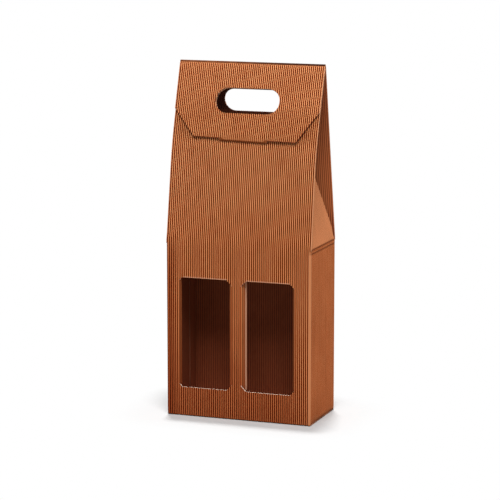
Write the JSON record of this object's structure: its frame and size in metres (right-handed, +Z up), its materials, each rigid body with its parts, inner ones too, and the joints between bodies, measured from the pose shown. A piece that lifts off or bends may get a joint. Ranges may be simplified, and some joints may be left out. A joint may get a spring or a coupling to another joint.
{
  "type": "two-bottle wine box",
  "caption": "Upright gift carton of open-flute card for a pair of wine bottles, with front windows, a gable top, a hand slot and a tuck-in closing flap.",
  "frame": {"origin": "centre of the box's footprint, on the surface it stands on", "axes": "+Z up, the windowed front faces -Y, +X to the right of someone who looks at the front"},
  "size_m": [0.17, 0.085, 0.396],
  "materials": {
    "carton_card": "matte copper-brown open-flute card",
    "flap_card": "matte copper-brown open-flute card"
  },
  "bodies": {
    "carton": {"carton": "carton_card"},
    "closing_flap": {"closing_flap": "flap_card"}
  },
  "joints": [
    {"name": "flap_hinge", "type": "hinge", "parent": "carton", "child": "closing_flap", "pos_m": [0, 0.004, 0.3945], "axis": [-1, 0, 0], "range_deg": [0, 150]}
  ]
}
